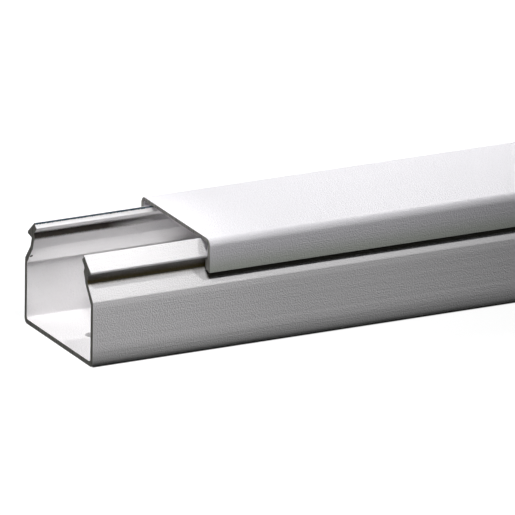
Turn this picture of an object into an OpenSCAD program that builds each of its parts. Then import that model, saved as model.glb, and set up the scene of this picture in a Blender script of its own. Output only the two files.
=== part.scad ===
// Two-piece cable trunking, as sold by the length: a U-shaped base channel whose walls end in
// barbed clip rails, and a flat lid whose hooked legs clip over the rails and slide along them.
// X runs along the length, Y across and Z up. The origin lies on the underside, midway between
// the open end of the base and the far end of the lid. Sections are drawn in the plane across
// the length, and the rails and hooks are given by their distance in from the outer face.

/* [Trunking] */
// Length to which the base and the lid are each cut
cut_length = 2000; // [600:50:3000]
// Width over the outer faces
outer_w = 40; // [32:1:120]
// Height with the lid on
outer_h = 30; // [24:1:100]
// Gap between the lid's hooks and the rails
clearance = 0.25; // [0.15:0.05:0.4]
// Gap between the rails' top edges and the underside of the lid
seat_gap = 0.1; // [0.05:0.05:0.3]
// Distance that the lid stands back from the open end of the base
lid_setback = 33.5; // [0:0.5:300]

/* [Base channel] */
// Thickness of the walls, shoulders and necks
wall_t = 1.3; // [1:0.1:1.8]
// Thickness of the floor
floor_t = 1.3; // [1:0.1:2.5]
// Radius of the outer edges along the foot
foot_r = 1.5; // [0.4:0.1:2]
// Radius of the inner corners between the floor and the walls
floor_corner_r = 0.8; // [0.3:0.1:2]

/* [Fixing slots] */
// Width of a fixing slot
slot_w = 4.5; // [3:0.1:6]
// Length of a fixing slot from end to end
slot_length = 12; // [8:0.5:20]
// Distance from the open end to the middle of the first slot
slot_first = 14; // [12:0.5:120]
// Distance from one slot to the next
slot_pitch = 250; // [100:10:500]

/* [Clip rails] */
// Height of the stretch below the crease over which the wall already leans in a little
brow_h = 1.8; // [1.2:0.1:2.4]
// How far the wall leans in over that stretch
brow_lean = 0.12; // [0.1:0.01:0.25]
// Drop from the lid's top face to the crease where the shoulder starts
crease_drop = 12.2; // [11:0.1:14]
// How far the crease inside the wall lies below the outer one
inner_crease_drop = 1; // [0.4:0.05:1.4]
// How far the sloping shoulder leans in
shoulder_run = 3.2; // [2.6:0.1:4]
// Height of the sloping shoulder
shoulder_rise = 4.1; // [3.2:0.1:5]
// How far the neck leans in above the shoulder
neck_lean = 0.65; // [0.2:0.05:1.2]
// Height of the blunt front face of the barb
barb_face_h = 0.6; // [0.5:0.05:0.9]
// Slant of the barb's underside, from the neck up to the front face
barb_undercut = 0.5; // [0.2:0.05:1]
// Height of the head's sloping outer face, from the barb's front face to the top edge
head_rise = 3.45; // [3:0.05:3.8]
// Width of the head's sloping outer face
head_run = 3.9; // [3.4:0.1:4.6]
// Width of the narrow land along the top edge
land_w = 0.35; // [0.3:0.05:0.6]
// Height of the upright rim on the inner side of the top edge
rim_h = 0.6; // [0.3:0.05:0.9]
// Width of the ledge inside the rim
ledge_w = 0.85; // [0.5:0.05:1.2]
// Fall of the ledge towards its inner edge
ledge_fall = 0.75; // [0.4:0.05:1]
// Height of the notch under the ledge above the top of the neck
notch_lift = 1.45; // [1.2:0.05:1.8]
// How far the bead along the inner side of the neck stands in
neck_bead = 0.5; // [0:0.05:0.8]
// How far the bead's crest is raised above the inner side of the neck's top
bead_lift = 0.6; // [0.2:0.05:0.8]

/* [Lid] */
// Thickness of the lid's top panel
lid_t = 1; // [0.8:0.1:1.8]
// Radius of the lid's outer corners
lid_r = 2; // [1:0.1:3]
// Radius of the corners inside the lid, between the panel and the legs
lid_inner_r = 0.8; // [0.3:0.1:1.2]
// Thickness of the lid's legs
leg_t = 1.3; // [1:0.05:1.6]
// Height of the open joint between the lid's legs and the creases of the base
joint_gap = 3.25; // [2.6:0.05:3.4]
// Room between the hook's nose and the shoulder of the base
nose_room = 0.55; // [0.4:0.05:1]
// Height of the hook's nose above the top of the shoulder
nose_lift = 0.3; // [0.1:0.05:0.6]
// Width of the flat edge along the bottom of a leg
leg_edge_w = 0.9; // [0.5:0.05:1.1]

/* [Radii] */
// Radius of the soft bend at the foot of the brow
brow_r = 12; // [6:1:20]
// Radius of the bends at the creases and shoulders
bend_r = 0.9; // [0.3:0.1:1.5]
// Radius of the inside nooks of the rails and hooks
nook_r = 0.3; // [0.1:0.05:0.4]
// Radius of the edges of the barb's front face
barb_r = 0.25; // [0.1:0.05:0.3]
// Radius of the other outer edges of the rails and hooks
edge_r = 0.15; // [0.05:0.05:0.2]

/* [Hidden] */
$fn = 48;

// Ends of the two pieces along the length
open_end_x = -(cut_length + lid_setback) / 2;
lid_end_x = open_end_x + lid_setback;

// Levels of the section
panel_z = outer_h - lid_t;
head_top_z = panel_z - seat_gap;
tip_z = head_top_z - head_rise;
neck_top_z = tip_z - barb_face_h - barb_undercut;
crease_z = outer_h - crease_drop;
shoulder_z = crease_z + shoulder_rise;
leg_edge_z = crease_z + joint_gap;

// Corners of the clip rail's outer side, from the foot of the brow up to the top edge of the head
brow_foot = [0, crease_z - brow_h];
crease = [brow_lean, crease_z];
shoulder = [shoulder_run, shoulder_z];
neck = [shoulder_run + neck_lean, neck_top_z];
barb_foot = [leg_t + clearance, tip_z - barb_face_h];
barb = [barb_foot[0], tip_z];
head_top = [barb[0] + head_run, head_top_z];

// Corners of its inner side, from the top edge down; the wall keeps its thickness to the notch
land_end = head_top + [land_w, 0];
rim_foot = land_end - [0, rim_h];
ledge = rim_foot + [ledge_w, -ledge_fall];
notch = neck + [wall_t, notch_lift];
neck_inner = neck + wall_t * right_of(unit(neck - shoulder)) + [neck_bead, bead_lift];
shoulder_inner = mitre(crease, shoulder, neck, wall_t);
crease_inner = [wall_t, crease_z - inner_crease_drop];

// The lid's hook: its top face lies one clearance under the barb, its nose clears the shoulder
nose_w = shoulder_run - nose_room;
barb_slant = (neck[1] - barb_foot[1]) / (neck[0] - barb_foot[0]);
hook_root = [leg_t, barb_foot[1] - clearance + barb_slant * (leg_t - barb_foot[0])];
hook_top = [nose_w, barb_foot[1] - clearance + barb_slant * (nose_w - barb_foot[0])];
hook_nose = [nose_w, shoulder_z + nose_lift];

// How far the slivers of rounded corners reach past them, so that they cut and join cleanly
sliver_overlap = 0.1;

// How far the arcs of rounded corners reach past the sides, so that they meet them at one clean edge
arc_overlap = 0.0005;

slot_count = 1 + floor((cut_length - slot_first - slot_length) / slot_pitch);

function unit(v) = v / norm(v);

// Direction a quarter turn clockwise from a given one
function right_of(v) = [v[1], -v[0]];

// Point where the two sides of a path's corner b meet when both are set t to the right
function mitre(a, b, c, t) =
    let (n1 = right_of(unit(b - a)), n2 = right_of(unit(c - b)))
    b + t * (n1 + n2) / (1 + n1 * n2);

// Corner of an outline: a point and the radius that rounds it
function corner(point, r) = [point[0], point[1], r];

function place(corner) = [corner[0], corner[1]];

// Closed outline across the trunking: the corners of one side, measured in from the outer face,
// and then the same corners mirrored, in reverse order
function outline(side) = concat(
    [for (c = side) corner([outer_w / 2 - c[0], c[1]], c[2])],
    [for (i = [len(side) - 1 : -1 : 0]) corner([side[i][0] - outer_w / 2, side[i][1]], side[i][2])]
);

// Carries a section along the length from a given end
module extruded(start_x) {
    translate([start_x, 0, 0]) rotate([90, 0, 90]) linear_extrude(cut_length) children();
}

// What lies between the corner b, whose sides run to a and c, and the arc that rounds it
module corner_sliver(a, b, c, r) {
    to_a = unit(a - b);
    to_c = unit(c - b);
    bisector = unit(to_a + to_c);
    half_angle = acos(to_a * to_c) / 2;
    reach = r / tan(half_angle);
    centre = b + r / sin(half_angle) * bisector;
    difference() {
        polygon([b - sliver_overlap * bisector, b + reach * to_c, centre, b + reach * to_a]);
        translate(centre) circle(r + arc_overlap);
    }
}

// Slivers at all corners of an outline that turn one way: 1 for outer corners, -1 for inner ones
module slivers(corners, turning) {
    n = len(corners);
    for (i = [0 : n - 1]) {
        here = place(corners[i]);
        before = place(corners[(i + n - 1) % n]);
        after = place(corners[(i + 1) % n]);
        if (turning * cross(here - before, after - here) > 0) {
            ends = turning > 0 ? [before, after] : [after, before];
            corner_sliver(ends[0], here, ends[1], corners[i][2]);
        }
    }
}

// Outline with all its corners rounded: the outer ones lose a sliver and the inner ones gain one
module rounded(corners) {
    difference() {
        polygon([for (c = corners) place(c)]);
        slivers(corners, 1);
    }
    slivers(corners, -1);
}

// U-shaped channel with a shoulder, a neck and a barbed head along the top of both walls
module base_section() {
    rounded(outline([
        corner([0, 0], foot_r),
        corner(brow_foot, brow_r),
        corner(crease, bend_r),
        corner(shoulder, bend_r),
        corner(neck, nook_r),
        corner(barb_foot, barb_r),
        corner(barb, barb_r),
        corner(head_top, edge_r),
        corner(land_end, edge_r),
        corner(rim_foot, nook_r),
        corner(ledge, edge_r),
        corner(notch, nook_r),
        corner(neck_inner, nook_r),
        corner(shoulder_inner, bend_r),
        corner(crease_inner, bend_r),
        corner([wall_t, floor_t], floor_corner_r)
    ]));
}

// Flat panel with two legs that end in inward hooks, each with a lead-in below its nose
module lid_section() {
    rounded(outline([
        corner([leg_t, panel_z], lid_inner_r),
        corner(hook_root, nook_r),
        corner(hook_top, edge_r),
        corner(hook_nose, edge_r),
        corner([leg_edge_w, leg_edge_z], edge_r),
        corner([0, leg_edge_z], edge_r),
        corner([0, outer_h], lid_r)
    ]));
}

// Slot with round ends that runs along the length, standing through the floor
module fixing_slot() {
    straight = slot_length - slot_w;
    translate([0, 0, -floor_t]) linear_extrude(3 * floor_t) {
        square([straight, slot_w], center = true);
        for (end = [-1, 1]) {
            translate([end * straight / 2, 0]) circle(d = slot_w);
        }
    }
}

module base_channel() {
    color("whitesmoke") difference() {
        extruded(open_end_x) base_section();
        for (i = [0 : slot_count - 1]) {
            translate([open_end_x + slot_first + i * slot_pitch, 0, 0]) fixing_slot();
        }
    }
}

module clip_lid() {
    color("white") extruded(lid_end_x) lid_section();
}

base_channel();
clip_lid();
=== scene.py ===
"""Dresses a length of two-piece white PVC cable trunking: finishes, white studio, lamps and camera."""

import math

import bpy
import numpy as np
from mathutils import Matrix, Vector


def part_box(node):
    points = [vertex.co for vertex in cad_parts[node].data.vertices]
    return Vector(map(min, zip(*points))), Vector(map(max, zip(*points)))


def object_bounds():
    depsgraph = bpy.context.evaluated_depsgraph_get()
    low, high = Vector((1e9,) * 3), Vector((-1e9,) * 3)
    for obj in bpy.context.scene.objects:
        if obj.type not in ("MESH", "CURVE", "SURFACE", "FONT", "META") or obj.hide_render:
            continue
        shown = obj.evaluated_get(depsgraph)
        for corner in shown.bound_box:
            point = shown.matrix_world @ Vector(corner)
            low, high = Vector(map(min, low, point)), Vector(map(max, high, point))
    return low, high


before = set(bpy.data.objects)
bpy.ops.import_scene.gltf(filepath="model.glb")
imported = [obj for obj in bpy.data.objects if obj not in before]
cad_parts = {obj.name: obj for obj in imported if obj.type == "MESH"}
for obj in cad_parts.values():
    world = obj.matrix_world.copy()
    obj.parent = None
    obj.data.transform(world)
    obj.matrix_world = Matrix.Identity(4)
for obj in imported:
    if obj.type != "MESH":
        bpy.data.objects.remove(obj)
CAD_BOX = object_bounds()

bl_info = {
    "name": "Cable Trunking Dresser",
    "version": (1, 0, 0),
    "blender": (4, 5, 0),
    "location": "View3D > Sidebar > Trunking",
    "description": "Finishes and a studio for a two-piece cable trunking",
    "category": "Object",
}

# A millimetre in metres, the unit of the frame
MM = 0.001

# Places along and across the trunking are counted from the base's open end and its outer faces
BASE_LOW, BASE_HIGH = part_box("base_channel")
OPEN_END = BASE_LOW.x
HALF_WIDTH = BASE_HIGH.y
TOP = CAD_BOX[1].z


def linear(hex_colour):
    """Linear RGB of an sRGB hex colour such as F2F1EF."""
    srgb = np.array([int(hex_colour[i:i + 2], 16) for i in (0, 2, 4)]) / 255
    rgb = np.where(srgb <= 0.04045, srgb / 12.92, ((srgb + 0.055) / 1.055) ** 2.4)
    return tuple(float(c) for c in rgb)


def rgba(colour, share=1.0):
    """A share of a linear colour with full opacity, as a colour socket takes it."""
    return (*(share * c for c in colour), 1.0)


def colour_property(name, description, hex_colour):
    """A colour that a user would change, with its default as sRGB hex."""
    return bpy.props.FloatVectorProperty(
        name=name, description=description, subtype="COLOR", size=3, min=0, max=1,
        default=linear(hex_colour),
    )


def length_property(name, description, millimetres):
    """A length that a user would change, with its default in millimetres."""
    return bpy.props.FloatProperty(
        name=name, description=description, unit="LENGTH", subtype="DISTANCE", min=0, precision=5,
        default=millimetres * MM,
    )


def lengths_property(name, description, *millimetres):
    """A few lengths that a user would change together, with their defaults in millimetres."""
    return bpy.props.FloatVectorProperty(
        name=name, description=description, unit="LENGTH", subtype="XYZ_LENGTH", min=0, precision=5,
        size=len(millimetres), default=[mm * MM for mm in millimetres],
    )


def angle_property(name, description, degrees):
    """An angle that a user would change, with its default in degrees."""
    return bpy.props.FloatProperty(
        name=name, description=description, unit="ROTATION", subtype="ANGLE",
        default=math.radians(degrees),
    )


def power_property(name, description, watts):
    """A lamp's power that a user would change, in watts."""
    return bpy.props.FloatProperty(name=name, description=description, unit="POWER", min=0, default=watts)


class TrunkingFinish(bpy.types.PropertyGroup):
    """Colours and real sizes of the trunking's surface finishes and of its painted shade."""
    base_colour: colour_property("Base", "Colour of the base's plastic", "EFEDEE")
    lid_colour: colour_property("Lid", "Colour of the lid's plastic", "F0EEF2")
    # The sawn end faces are matt and scored, and their colours are painted darker as shade on the ends
    base_sawn_shade: colour_property("Base ends", "Colour of the base's sawn end faces", "A4A29A")
    lid_sawn_shade: colour_property("Lid ends", "Colour of the lid's sawn end faces", "C6C4BE")
    # Painted shade: a dark olive band under the barbs, in the outer clip grooves
    groove_shade: colour_property("Groove grime", "Colour of the grime under the barbs", "4A3F12")
    # Painted shade: the head's cast shadow under the inner ledges, fading along the length
    notch_shade: colour_property("Notch grime", "Colour of the grime under the ledges", "2E2822")
    # Painted shade in the joint under the lid's legs, only where the lid covers the base
    joint_shade: colour_property("Joint grime", "Colour of the grime in the joint under the lid", "45443C")
    # Painted shade: the outer faces darker towards the foot
    foot_shade: colour_property("Foot grime", "Colour of the dust along the foot", "343A33")
    # Painted shade: a cool blue-grey on the rims inside the rails' top edges
    rim_shade: colour_property("Rim grime", "Colour of the scuffed rims inside the top edges", "3C4E58")
    # Painted shade: the lid's legs darker low on their outer faces
    leg_shade: colour_property("Leg dust", "Colour of the dust low on the lid's legs", "C0C4BB")
    # Painted shade on the lid's hooks and the inner faces of its legs, darkening the joint
    hook_shade: colour_property("Hook grime", "Colour of the grime on the lid's hooks", "3A3426")
    speck_colour: colour_property("Speck", "Colour of the speck by the open end", "14120F")

    # The real grain, die lines and saw lines are finer and shallower: they are drawn coarse enough to show
    die_line: length_property("Die lines", "Spacing of the fine lines that the die leaves", 0.7)
    grain: length_property("Grain", "Size of the surface's fine grain", 0.35)
    cloud: length_property("Clouding", "Size of the broad drift in whiteness", 30.0)
    saw_line: length_property("Saw lines", "Spacing of the saw's lines on the end faces", 0.4)
    saw_slant: angle_property("Saw slant", "Slant of the saw's lines off the vertical", 25)
    relief: length_property("Relief", "Depth of the grain and the lines", 0.21)

    # Distances in from the outer faces that bound the bands of painted shade
    rail_middle: length_property("Rail middle", "Distance of the rails' middle from the outer face", 4.05)
    joint_depth: length_property("Joint depth", "How far in the grime in the joint reaches", 2.6)
    rim_depth: length_property("Rim depth", "How far in the scuffed rims start", 5.7)
    foot_depth: length_property("Foot depth", "How far in the dust along the foot reaches", 1.2)
    leg_skin: length_property("Leg skin", "How far in the grime on the lid's hooks starts", 0.1)

    # Heights of the bands of painted shade, counted down from the lid's top: where a band begins, is full,
    # and ends
    groove_drops: lengths_property(
        "Groove", "Where the grime under the barbs begins, is full and ends", 9.0, 7.8, 7.6, 5.0)
    notch_drops: lengths_property(
        "Notch", "Where the grime under the ledges begins, is full and ends", 6.2, 5.2, 4.2, 3.4)
    joint_drops: lengths_property(
        "Joint", "Where the grime in the joint begins, is full and ends", 10.9, 10.4, 8.6, 8.2)
    rim_drops: lengths_property(
        "Rim", "Where the scuffs on the rims begin, are full and end", 1.65, 1.5, 0.9, 0.8)
    foot_drops: lengths_property(
        "Foot", "Where the dust along the foot begins, is full and ends", 34.0, 33.0, 32.0, 23.5)
    leg_drops: lengths_property(
        "Legs", "Where the dust low on the lid's legs begins, is full and ends", 12.0, 10.0, 9.0, 3.0)
    hook_drops: lengths_property(
        "Hooks", "Where the grime on the lid's hooks begins, is full and ends", 30.0, 29.0, 5.0, 4.0)

    # Distances along the base from its open end: where a band of painted shade is full, and where it is gone
    notch_reaches: lengths_property(
        "Notch reach", "Where the grime under the ledges starts to fade and is gone", 21.0, 42.0)
    joint_reaches: lengths_property(
        "Joint reach", "Where the grime in the joint is full, and where it starts", 34.0, 33.0)

    speck_place: lengths_property(
        "Speck place", "Distances of the speck from the open end, the outer face and the lid's top",
        0.5, 2.75, 11.15)
    speck_radii: lengths_property("Speck radii", "Where the speck starts to fade and is gone", 0.4, 0.5)


class TrunkingStudio(bpy.types.PropertyGroup):
    """Where the camera stands and how the studio is lit."""
    floor_colour: colour_property("Floor", "Colour of the floor as the camera sees it", "FFFFFF")
    ambient_colour: colour_property("Ambient", "Colour of the light from all round", "8C939C")
    ambient_strength: bpy.props.FloatProperty(
        name="Ambient strength", description="Strength of the light from all round", min=0, default=0.1)
    azimuth: angle_property("Azimuth", "Turn of the camera round the trunking", -26.899)
    elevation: angle_property("Elevation", "Height of the camera above the horizon", 18.895)
    roll: angle_property("Roll", "Turn of the camera about its own axis", 0.722)
    distance: length_property("Distance", "Distance from the camera to its aim", 4585.2)
    aim_along: length_property("Aim along", "Distance of the camera's aim from the open end", 58.33)
    aim_across: length_property("Aim across", "Distance of the aim behind the middle plane", 1.85)
    aim_height: length_property("Aim height", "Height of the aim above the floor", 15.0)
    lens: bpy.props.FloatProperty(
        name="Lens", description="Focal length of the camera", subtype="DISTANCE_CAMERA", default=1234.4)
    key_power: power_property("Key", "Power of the key lamp in front of the open end", 5.4)
    sun_strength: bpy.props.FloatProperty(
        name="Sun", description="Strength of the even light from the front right", min=0, default=1.05)
    strip_power: power_property("Overhead strip", "Power of the long strip over the lid", 1.9)
    mouth_power: power_property("Mouth spot", "Power of the spot on the open end", 6.1)
    well_power: power_property("Floor spot", "Power of the spot on the channel's floor by the open end", 8.5)
    card_power: power_property("Bounce card", "Power of the small card inside the open end", 0.0007)
    back_power: power_property("Back softbox", "Power of the long softbox behind", 1.6)
    end_power: power_property("End spot", "Power of the spot on the far end", 8.0)


def add_node(tree, kind, inputs=None, output=0, **settings):
    """Adds a node with its settings, sets or links its inputs, and gives one of its outputs."""
    node = tree.nodes.new(kind)
    for name, value in settings.items():
        setattr(node, name, value)
    for key, value in (inputs or {}).items():
        if isinstance(value, bpy.types.NodeSocket):
            tree.links.new(value, node.inputs[key])
        else:
            node.inputs[key].default_value = value
    return node.outputs[output] if node.outputs else node


def new_tree(block):
    """Empties the node tree of a material or world and gives it."""
    block.use_nodes = True
    block.node_tree.nodes.clear()
    return block.node_tree


# Sockets of a Mix node by number: its factor, its pairs of values and of colours, and the mixed colour
MIX_FACTOR = 0
MIX_VALUE_A, MIX_VALUE_B = 2, 3
MIX_A, MIX_B, MIX_RESULT = 6, 7, 2

# Middle of a noise's values, the range that most of them lie in, and how many finer layers it has
NOISE_MIDDLE = 0.5
NOISE_LOW, NOISE_HIGH = 0.35, 0.65
NOISE_DETAIL = 2.0

# How far the grain shifts the edges of the bands of painted shade
RAGGED = 0.4 * MM

# Reaches from the open end, in metres, of a band that runs the whole length
ENDLESS = (10.0, 20.0)


def painted_shade(tree, place, grain, surface, shade_bands):
    """Colour of a surface with its bands of painted shade.

    Shade is painted under the barbs and the ledges, in the joint under the lid, on the rims, low on the
    lid's legs, on its hooks and towards the foot. Each band has a colour and lies between two distances from
    the middle plane. It is clean below its first height, shaded from the second to the third and clean again
    above the fourth, and the grain makes these heights a little ragged.
    Along the length it is full as far as its first reach from the open end and gone from the second on.
    Where the second reach is the shorter one, it is gone as far as that and full from the first on.
    """
    along, across, height = (
        add_node(tree, "ShaderNodeSeparateXYZ", {"Vector": place}, axis) for axis in "XYZ")
    off_middle = add_node(tree, "ShaderNodeMath", {0: across}, operation="ABSOLUTE")
    jitter = add_node(tree, "ShaderNodeMath", {0: grain, 1: NOISE_MIDDLE}, operation="SUBTRACT")
    ragged = add_node(tree, "ShaderNodeMath", {0: jitter, 1: RAGGED, 2: height}, operation="MULTIPLY_ADD")
    for colour, (nearest, furthest), drops, reaches in shade_bands:
        clean_low, low, high, clean_high = (TOP - drop for drop in drops)
        full, gone = (OPEN_END + reach for reach in reaches)
        within = add_node(tree, "ShaderNodeMath", {
            0: off_middle, 1: (nearest + furthest) / 2, 2: (furthest - nearest) / 2}, operation="COMPARE")
        rising = add_node(tree, "ShaderNodeMapRange", {
            "Value": ragged, "From Min": clean_low, "From Max": low}, interpolation_type="SMOOTHSTEP")
        falling = add_node(tree, "ShaderNodeMapRange", {
            "Value": ragged, "From Min": clean_high, "From Max": high}, interpolation_type="SMOOTHSTEP")
        reached = add_node(tree, "ShaderNodeMapRange", {"Value": along, "From Min": gone, "From Max": full})
        share = within
        for part in (rising, falling, reached):
            share = add_node(tree, "ShaderNodeMath", {0: share, 1: part}, operation="MULTIPLY")
        surface = add_node(tree, "ShaderNodeMix", {
            MIX_FACTOR: share, MIX_A: surface, MIX_B: rgba(colour)}, MIX_RESULT, data_type="RGBA")
    return surface


# How many times longer than wide the die's lines, the clouds and the saw's lines are, and the length over
# which the saw's lines stay the same, so that an end face shows one slice of them
LINE_STRETCH, CLOUD_STRETCH, SAW_STRETCH = 600, 3, 20
SAW_SLICE = 1.0

# Shares of the noises in how white a spot is and in the relief
WHITENESS_SHARES = {"cloud": 0.2, "lines": 0.3, "grain": 0.5}
RELIEF_SHARES = {"grain": 0.7, "lines": 0.3}

# Share of its colour that the plastic keeps where it is least white, and a sawn face where it is scored
DULL_SHARE, SCORED_SHARE = 0.97, 0.5

# Least size of a normal's part along the length on an end face
END_FACING = 0.95

# Refraction of rigid PVC, and its gloss, which dust and grain bring below the 0.5 of a clean polished face
PVC_IOR, PVC_GLOSS = 1.53, 0.2

# Roughness of the plastic where it is least and most white, and of a sawn face
DULL_ROUGHNESS, WHITE_ROUGHNESS, SAWN_ROUGHNESS = 0.5, 0.4, 0.75


def summed(tree, noises, shares):
    """Sum of some noises, each times its share."""
    total = 0.0
    for pattern, share in shares.items():
        total = add_node(tree, "ShaderNodeMath", {
            0: noises[pattern], 1: share, 2: total}, operation="MULTIPLY_ADD")
    return total


def extruded_pvc(name, colour, sawn_shade_colour, finish, shade_bands, speck=None):
    """Rigid PVC, extruded white and sawn to length.

    The die leaves faint lines along the length and a fine grain, so the satin surface breaks its
    highlights into streaks; the sawn ends are matt, scored across by the blade and painted darker as shade,
    and bands of painted shade darken the grooves, the joint, the rims, the foot, and the lid's legs and
    hooks.
    """
    material = bpy.data.materials.new(name)
    tree = new_tree(material)
    place = add_node(tree, "ShaderNodeTexCoord", output="Object")
    normal = add_node(tree, "ShaderNodeTexCoord", output="Normal")

    # Noises with the sizes of the die's lines, the grain, the clouding and the saw's lines
    line, cloud_size, saw_size = finish.die_line, finish.cloud, finish.saw_line
    sizes = {
        "lines": (LINE_STRETCH * line, line, line),
        "grain": (finish.grain, finish.grain, finish.grain),
        "cloud": (CLOUD_STRETCH * cloud_size, cloud_size, cloud_size),
        "saw": (SAW_SLICE, saw_size, SAW_STRETCH * saw_size),
    }
    noises = {}
    for pattern, size in sizes.items():
        slant = finish.saw_slant if pattern == "saw" else 0.0
        mapped = add_node(tree, "ShaderNodeMapping", {
            "Vector": place, "Rotation": (slant, 0.0, 0.0), "Scale": [1 / s for s in size]})
        noises[pattern] = add_node(tree, "ShaderNodeTexNoise", {
            "Vector": mapped, "Scale": 1.0, "Detail": NOISE_DETAIL})

    # How white a spot is: mostly its grain, then the die lines and the broad clouding
    tone = summed(tree, noises, WHITENESS_SHARES)
    whiteness = add_node(tree, "ShaderNodeMapRange", {
        "Value": tone, "From Min": NOISE_LOW, "From Max": NOISE_HIGH})
    surface = add_node(tree, "ShaderNodeMix", {
        MIX_FACTOR: whiteness, MIX_A: rgba(colour, DULL_SHARE), MIX_B: rgba(colour),
    }, MIX_RESULT, data_type="RGBA")
    # Bands of painted shade over the grain
    surface = painted_shade(tree, place, noises["grain"], surface, shade_bands)

    # End faces are those whose normal runs along the length
    along = add_node(tree, "ShaderNodeSeparateXYZ", {"Vector": normal}, "X")
    facing = add_node(tree, "ShaderNodeMath", {0: along}, operation="ABSOLUTE")
    is_end = add_node(tree, "ShaderNodeMath", {0: facing, 1: END_FACING}, operation="GREATER_THAN")
    saw_mark = add_node(tree, "ShaderNodeMapRange", {
        "Value": noises["saw"], "From Min": NOISE_LOW, "From Max": NOISE_HIGH})
    # Sawn end faces: the saw's scoring on a colour painted darker as shade
    sawn = add_node(tree, "ShaderNodeMix", {
        MIX_FACTOR: saw_mark, MIX_A: rgba(sawn_shade_colour, SCORED_SHARE), MIX_B: rgba(sawn_shade_colour),
    }, MIX_RESULT, data_type="RGBA")
    surface = add_node(tree, "ShaderNodeMix", {
        MIX_FACTOR: is_end, MIX_A: surface, MIX_B: sawn}, MIX_RESULT, data_type="RGBA")

    if speck is not None:
        full, gone = finish.speck_radii
        away = add_node(tree, "ShaderNodeVectorMath", {0: place, 1: speck}, "Value", operation="DISTANCE")
        clean = add_node(tree, "ShaderNodeMapRange", {"Value": away, "From Min": full, "From Max": gone})
        surface = add_node(tree, "ShaderNodeMix", {
            MIX_FACTOR: clean, MIX_A: rgba(finish.speck_colour), MIX_B: surface,
        }, MIX_RESULT, data_type="RGBA")

    # Satin that is smoother where it is whiter, matt ends, and the relief of the grain and the lines
    satin = add_node(tree, "ShaderNodeMapRange", {
        "Value": tone, "From Min": NOISE_LOW, "From Max": NOISE_HIGH,
        "To Min": DULL_ROUGHNESS, "To Max": WHITE_ROUGHNESS})
    matt = add_node(tree, "ShaderNodeMath", {0: is_end, 1: SAWN_ROUGHNESS}, operation="MULTIPLY")
    roughness = add_node(tree, "ShaderNodeMath", {0: satin, 1: matt}, operation="MAXIMUM")
    drawn = summed(tree, noises, RELIEF_SHARES)
    height = add_node(tree, "ShaderNodeMix", {
        MIX_FACTOR: is_end, MIX_VALUE_A: drawn, MIX_VALUE_B: noises["saw"]})
    bump = add_node(tree, "ShaderNodeBump", {"Height": height, "Strength": 1.0, "Distance": finish.relief})
    shader = add_node(tree, "ShaderNodeBsdfPrincipled", {
        "Base Color": surface, "Roughness": roughness, "Normal": bump, "IOR": PVC_IOR,
        "Specular IOR Level": PVC_GLOSS})
    add_node(tree, "ShaderNodeOutputMaterial", {"Surface": shader})
    return material


def dress(node, material):
    """Gives a CAD node's object one material."""
    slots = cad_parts[node].data.materials
    slots.clear()
    slots.append(material)


def aim_matrix(location, towards, roll=0.0):
    """Placement at a location that looks down its own -Z at a point, with its X level before the roll."""
    back = (Vector(location) - Vector(towards)).normalized()
    right = Vector((0, 0, 1)).cross(back).normalized()
    up = back.cross(right)
    turned_right = right * math.cos(roll) + up * math.sin(roll)
    turned_up = up * math.cos(roll) - right * math.sin(roll)
    turn = Matrix((turned_right, turned_up, back)).transposed()
    return Matrix.Translation(location) @ turn.to_4x4()


def above(target, reach, tilt, turn=0.0):
    """Point at a reach from a target, tilted off the vertical to the front and turned left, in degrees."""
    lean, swing = math.radians(tilt), math.radians(turn)
    level = math.sin(lean)
    return target + reach * Vector((-level * math.sin(swing), -level * math.cos(swing), math.cos(lean)))


def add_lamp(name, kind, location, towards, watts, **settings):
    """A lamp of a given kind, with its settings, that the camera doesn't see."""
    lamp = bpy.data.lights.new(name, kind)
    lamp.energy = watts
    for key, value in settings.items():
        setattr(lamp, key, value)
    placed = bpy.data.objects.new(name, lamp)
    placed.matrix_world = aim_matrix(location, towards)
    placed.visible_camera = False
    bpy.context.scene.collection.objects.link(placed)


def add_softbox(name, location, towards, watts, length, width, **settings):
    """A rectangular lamp whose length lies level."""
    add_lamp(
        name, "AREA", location, towards, watts,
        shape="RECTANGLE", size=length, size_y=width, **settings)


# Distance of the spots from what they light
SPOT_REACH = 600 * MM


def add_spot(name, target, watts, tilt, cone, blend, bulb_radius, turn=0.0):
    """A spot above a target, with its tilt, turn and cone in degrees."""
    add_lamp(
        name, "SPOT", above(target, SPOT_REACH, tilt, turn), target, watts,
        spot_size=math.radians(cone), spot_blend=blend, shadow_soft_size=bulb_radius)


def seen_ray(tree):
    """1 for rays that show the background: the camera's, and those by way of gloss or glass."""
    kinds = ("Is Camera Ray", "Is Glossy Ray", "Is Transmission Ray")
    rays = [add_node(tree, "ShaderNodeLightPath", output=kind) for kind in kinds]
    either = add_node(tree, "ShaderNodeMath", {0: rays[0], 1: rays[1]}, operation="MAXIMUM")
    return add_node(tree, "ShaderNodeMath", {0: either, 1: rays[2]}, operation="MAXIMUM")


# Half the side of the floor, and how far it lies below the underside
FLOOR_HALF_SIDE = 30.0
FLOOR_DROP = 0.02 * MM

# The floor's own light beside the base, and how far from the base it has risen to full white
BESIDE_LIGHT = 0.82
SHADOW_REACH = 180 * MM

# How far in from the base's outer faces the contact shadow under its rounded foot starts and is full
CONTACT_CLEAR, CONTACT_FULL = 0.1 * MM, 0.7 * MM

# Shares of its colour with which the floor shows the lamps' light, and throws it back on the trunking
SHOWN_SHARE, BOUNCED_SHARE = 0.3, 0.04


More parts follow.
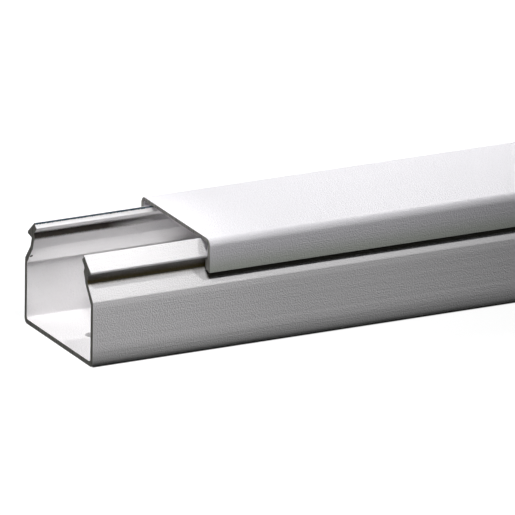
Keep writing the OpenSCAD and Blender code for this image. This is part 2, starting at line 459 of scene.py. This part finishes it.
def white_floor(studio):
    """Matt white paper.

    It is white away from the base, dim enough close to it to keep its shadow, and dark under its foot.
    """
    material = bpy.data.materials.new("white_paper_floor")
    tree = new_tree(material)
    place = add_node(tree, "ShaderNodeTexCoord", output="Object")
    from_base = add_node(tree, "ShaderNodeVectorMath", {
        0: place, 1: (BASE_LOW + BASE_HIGH) / 2}, operation="SUBTRACT")
    spread = add_node(tree, "ShaderNodeVectorMath", {0: from_base}, operation="ABSOLUTE")
    outside = add_node(tree, "ShaderNodeVectorMath", {
        0: spread, 1: (BASE_HIGH - BASE_LOW) / 2}, operation="SUBTRACT")
    past_end, past_side = (
        add_node(tree, "ShaderNodeSeparateXYZ", {"Vector": outside}, axis) for axis in "XY")
    away = add_node(tree, "ShaderNodeMath", {0: past_end, 1: past_side}, operation="MAXIMUM")
    bright = add_node(tree, "ShaderNodeMapRange", {
        "Value": away, "From Min": 0.0, "From Max": SHADOW_REACH, "To Min": BESIDE_LIGHT, "To Max": 1.0})
    open_floor = add_node(tree, "ShaderNodeMapRange", {
        "Value": away, "From Min": -CONTACT_FULL, "From Max": -CONTACT_CLEAR})
    own_light = add_node(tree, "ShaderNodeMath", {0: bright, 1: open_floor}, operation="MULTIPLY")
    lit = add_node(tree, "ShaderNodeBsdfDiffuse", {"Color": rgba(studio.floor_colour, SHOWN_SHARE)})
    glow = add_node(tree, "ShaderNodeEmission", {"Color": rgba(studio.floor_colour), "Strength": own_light})
    shown = add_node(tree, "ShaderNodeAddShader", {0: lit, 1: glow})
    bounced = add_node(tree, "ShaderNodeBsdfDiffuse", {"Color": rgba(studio.floor_colour, BOUNCED_SHARE)})
    surface = add_node(tree, "ShaderNodeMixShader", {0: seen_ray(tree), 1: bounced, 2: shown})
    add_node(tree, "ShaderNodeOutputMaterial", {"Surface": surface})
    return material


class TRUNKING_OT_dress_base(bpy.types.Operator):
    """Gives the base channel its extruded and sawn finish and its painted shade"""
    bl_idname = "trunking.dress_base"
    bl_label = "Dress base channel"

    def execute(self, context):
        finish = context.scene.trunking_finish
        rail_middle, joint, rim, foot = (HALF_WIDTH - depth for depth in (
            finish.rail_middle, finish.joint_depth, finish.rim_depth, finish.foot_depth))
        beyond = HALF_WIDTH + MM
        shade_bands = (
            # Painted shade under the barbs on the outer faces
            (finish.groove_shade, (rail_middle, beyond), finish.groove_drops, ENDLESS),
            # Painted shade under the inner ledges, fading away from the open end
            (finish.notch_shade, (0.0, rail_middle), finish.notch_drops, finish.notch_reaches),
            # Painted shade on the shoulder under the lid's legs
            (finish.joint_shade, (joint, beyond), finish.joint_drops, finish.joint_reaches),
            # Painted shade on the rims inside the top edges
            (finish.rim_shade, (0.0, rim), finish.rim_drops, ENDLESS),
            # Painted shade, darker towards the foot
            (finish.foot_shade, (foot, beyond), finish.foot_drops, ENDLESS),
        )
        from_end, from_face, drop = finish.speck_place
        speck = (OPEN_END + from_end, HALF_WIDTH - from_face, TOP - drop)
        dress("base_channel", extruded_pvc(
            "extruded_white_pvc_base", finish.base_colour, finish.base_sawn_shade, finish, shade_bands, speck))
        return {"FINISHED"}


class TRUNKING_OT_dress_lid(bpy.types.Operator):
    """Gives the lid its extruded and sawn finish and its painted shade"""
    bl_idname = "trunking.dress_lid"
    bl_label = "Dress lid"

    def execute(self, context):
        finish = context.scene.trunking_finish
        leg_face = HALF_WIDTH - finish.leg_skin
        shade_bands = (
            # Painted shade, darker low on the legs' outer faces
            (finish.leg_shade, (leg_face, HALF_WIDTH + MM), finish.leg_drops, ENDLESS),
            (finish.hook_shade, (0.0, leg_face), finish.hook_drops, ENDLESS),
        # Painted shade on the hooks and the inner faces of the legs
        )
        dress("clip_lid", extruded_pvc(
            "extruded_white_pvc_lid", finish.lid_colour, finish.lid_sawn_shade, finish, shade_bands))
        return {"FINISHED"}


# Width of the camera's sensor in millimetres, and how far it sees in metres
SENSOR_WIDTH = 36.0
SIGHT = 100.0


class TRUNKING_OT_build_studio(bpy.types.Operator):
    """Builds the floor, the surroundings, the lamps and the camera"""
    bl_idname = "trunking.build_studio"
    bl_label = "Build studio"

    def execute(self, context):
        scene = context.scene
        studio = scene.trunking_studio
        scene.view_settings.view_transform = "Standard"
        self.add_floor(studio)
        self.light_world(scene, studio)
        self.add_lamps(studio)
        self.add_camera(scene, studio)
        return {"FINISHED"}

    def add_floor(self, studio):
        """A square of paper under the trunking, a hair below its underside."""
        corners = FLOOR_HALF_SIDE * np.array([[-1, -1, 0], [1, -1, 0], [1, 1, 0], [-1, 1, 0]], float)
        mesh = bpy.data.meshes.new("paper_floor")
        mesh.from_pydata(corners - [0, 0, FLOOR_DROP], [], [(0, 1, 2, 3)])
        mesh.materials.append(white_floor(studio))
        floor = bpy.data.objects.new("paper_floor", mesh)
        bpy.context.scene.collection.objects.link(floor)

    def light_world(self, scene, studio):
        """White to the camera and in reflections, and a dim grey light from all round otherwise."""
        world = bpy.data.worlds.new("white_studio")
        tree = new_tree(world)
        ambient = add_node(tree, "ShaderNodeBackground", {
            "Color": rgba(studio.ambient_colour), "Strength": studio.ambient_strength})
        white = add_node(tree, "ShaderNodeBackground", {"Color": rgba(studio.floor_colour), "Strength": 1.0})
        sky = add_node(tree, "ShaderNodeMixShader", {0: seen_ray(tree), 1: ambient, 2: white})
        add_node(tree, "ShaderNodeOutputWorld", {"Surface": sky})
        scene.world = world

    def add_lamps(self, studio):
        """A key that fades along the front, even light over the whole length, and lamps for the two ends."""
        near_corner = Vector((OPEN_END, -HALF_WIDTH, TOP / 2))
        add_spot(
            "front_key", near_corner, studio.key_power, tilt=26, cone=30, blend=1.0, bulb_radius=25 * MM)

        # Along the whole length: a sun from the front right, a softbox behind, and a strip over the lid that
        # starts beyond the lid's near end
        middle = Vector((0, 0, TOP / 2))
        add_lamp(
            "window_sun", "SUN", above(middle, reach=1000 * MM, tilt=38, turn=-54), middle,
            studio.sun_strength, angle=math.radians(6))
        add_softbox(
            "back_softbox", above(middle, reach=1200 * MM, tilt=-60), middle, studio.back_power,
            length=3000 * MM, width=300 * MM)
        strip_start, strip_length = OPEN_END + 55 * MM, 2200 * MM
        under_strip = Vector((strip_start + strip_length / 2, 0, TOP))
        add_softbox(
            "overhead_strip", above(under_strip, reach=150 * MM, tilt=-45), under_strip, studio.strip_power,
            length=strip_length, width=100 * MM)

        far_end = Vector((CAD_BOX[1].x, 0, TOP / 2))
        add_spot(
            "end_spot", far_end, studio.end_power,
            tilt=85, turn=-90, cone=10, blend=1.0, bulb_radius=50 * MM)

        # At the open end: a spot from the left, one on the channel's floor, and a card low beside the far
        # wall that lights the shoulder over it
        mouth = Vector((OPEN_END + 12 * MM, 0, 0))
        add_spot(
            "mouth_spot", mouth, studio.mouth_power,
            tilt=20, turn=60, cone=7, blend=0.3, bulb_radius=20 * MM)
        well = Vector((OPEN_END + 11 * MM, -HALF_WIDTH / 2, 0))
        add_spot("floor_spot", well, studio.well_power, tilt=-26, cone=4, blend=0.6, bulb_radius=20 * MM)
        card_along, card_across, card_height = OPEN_END + 20 * MM, 0.86 * HALF_WIDTH, 2.5 * MM
        shoulder_across, shoulder_height = 0.84 * HALF_WIDTH, 20 * MM
        card = Vector((card_along, card_across, card_height))
        far_shoulder = Vector((card_along, shoulder_across, shoulder_height))
        add_softbox(
            "bounce_card", card, far_shoulder, studio.card_power,
            length=44 * MM, width=2 * MM, spread=math.radians(50))

    def add_camera(self, scene, studio):
        """A very long lens from the front left, looking down on the open end."""
        azimuth, elevation = studio.azimuth, studio.elevation
        level = math.cos(elevation)
        back = Vector((math.sin(azimuth) * level, -math.cos(azimuth) * level, math.sin(elevation)))
        aim = Vector((OPEN_END + studio.aim_along, studio.aim_across, studio.aim_height))
        lens = bpy.data.cameras.new("long_lens")
        lens.sensor_width = SENSOR_WIDTH
        lens.lens = studio.lens
        lens.clip_end = SIGHT
        camera = bpy.data.objects.new("camera", lens)
        camera.matrix_world = aim_matrix(aim + studio.distance * back, aim, studio.roll)
        scene.collection.objects.link(camera)
        scene.camera = camera


class TRUNKING_PT_sidebar(bpy.types.Panel):
    """Lists the trunking's operators and settings"""
    bl_idname = "TRUNKING_PT_sidebar"
    bl_label = "Cable trunking"
    bl_space_type = "VIEW_3D"
    bl_region_type = "UI"
    bl_category = "Trunking"

    def draw(self, context):
        layout = self.layout
        for operator in OPERATORS:
            layout.operator(operator.bl_idname)
        for group in (context.scene.trunking_finish, context.scene.trunking_studio):
            for name in group.__annotations__:
                layout.prop(group, name)


OPERATORS = (TRUNKING_OT_dress_base, TRUNKING_OT_dress_lid, TRUNKING_OT_build_studio)
CLASSES = (TrunkingFinish, TrunkingStudio, *OPERATORS, TRUNKING_PT_sidebar)


def register():
    for cls in CLASSES:
        bpy.utils.register_class(cls)
    bpy.types.Scene.trunking_finish = bpy.props.PointerProperty(type=TrunkingFinish)
    bpy.types.Scene.trunking_studio = bpy.props.PointerProperty(type=TrunkingStudio)


def unregister():
    del bpy.types.Scene.trunking_studio
    del bpy.types.Scene.trunking_finish
    for cls in reversed(CLASSES):
        bpy.utils.unregister_class(cls)


def main():
    register()
    bpy.ops.trunking.dress_base()
    bpy.ops.trunking.dress_lid()
    bpy.ops.trunking.build_studio()


if __name__ == "__main__":
    main()
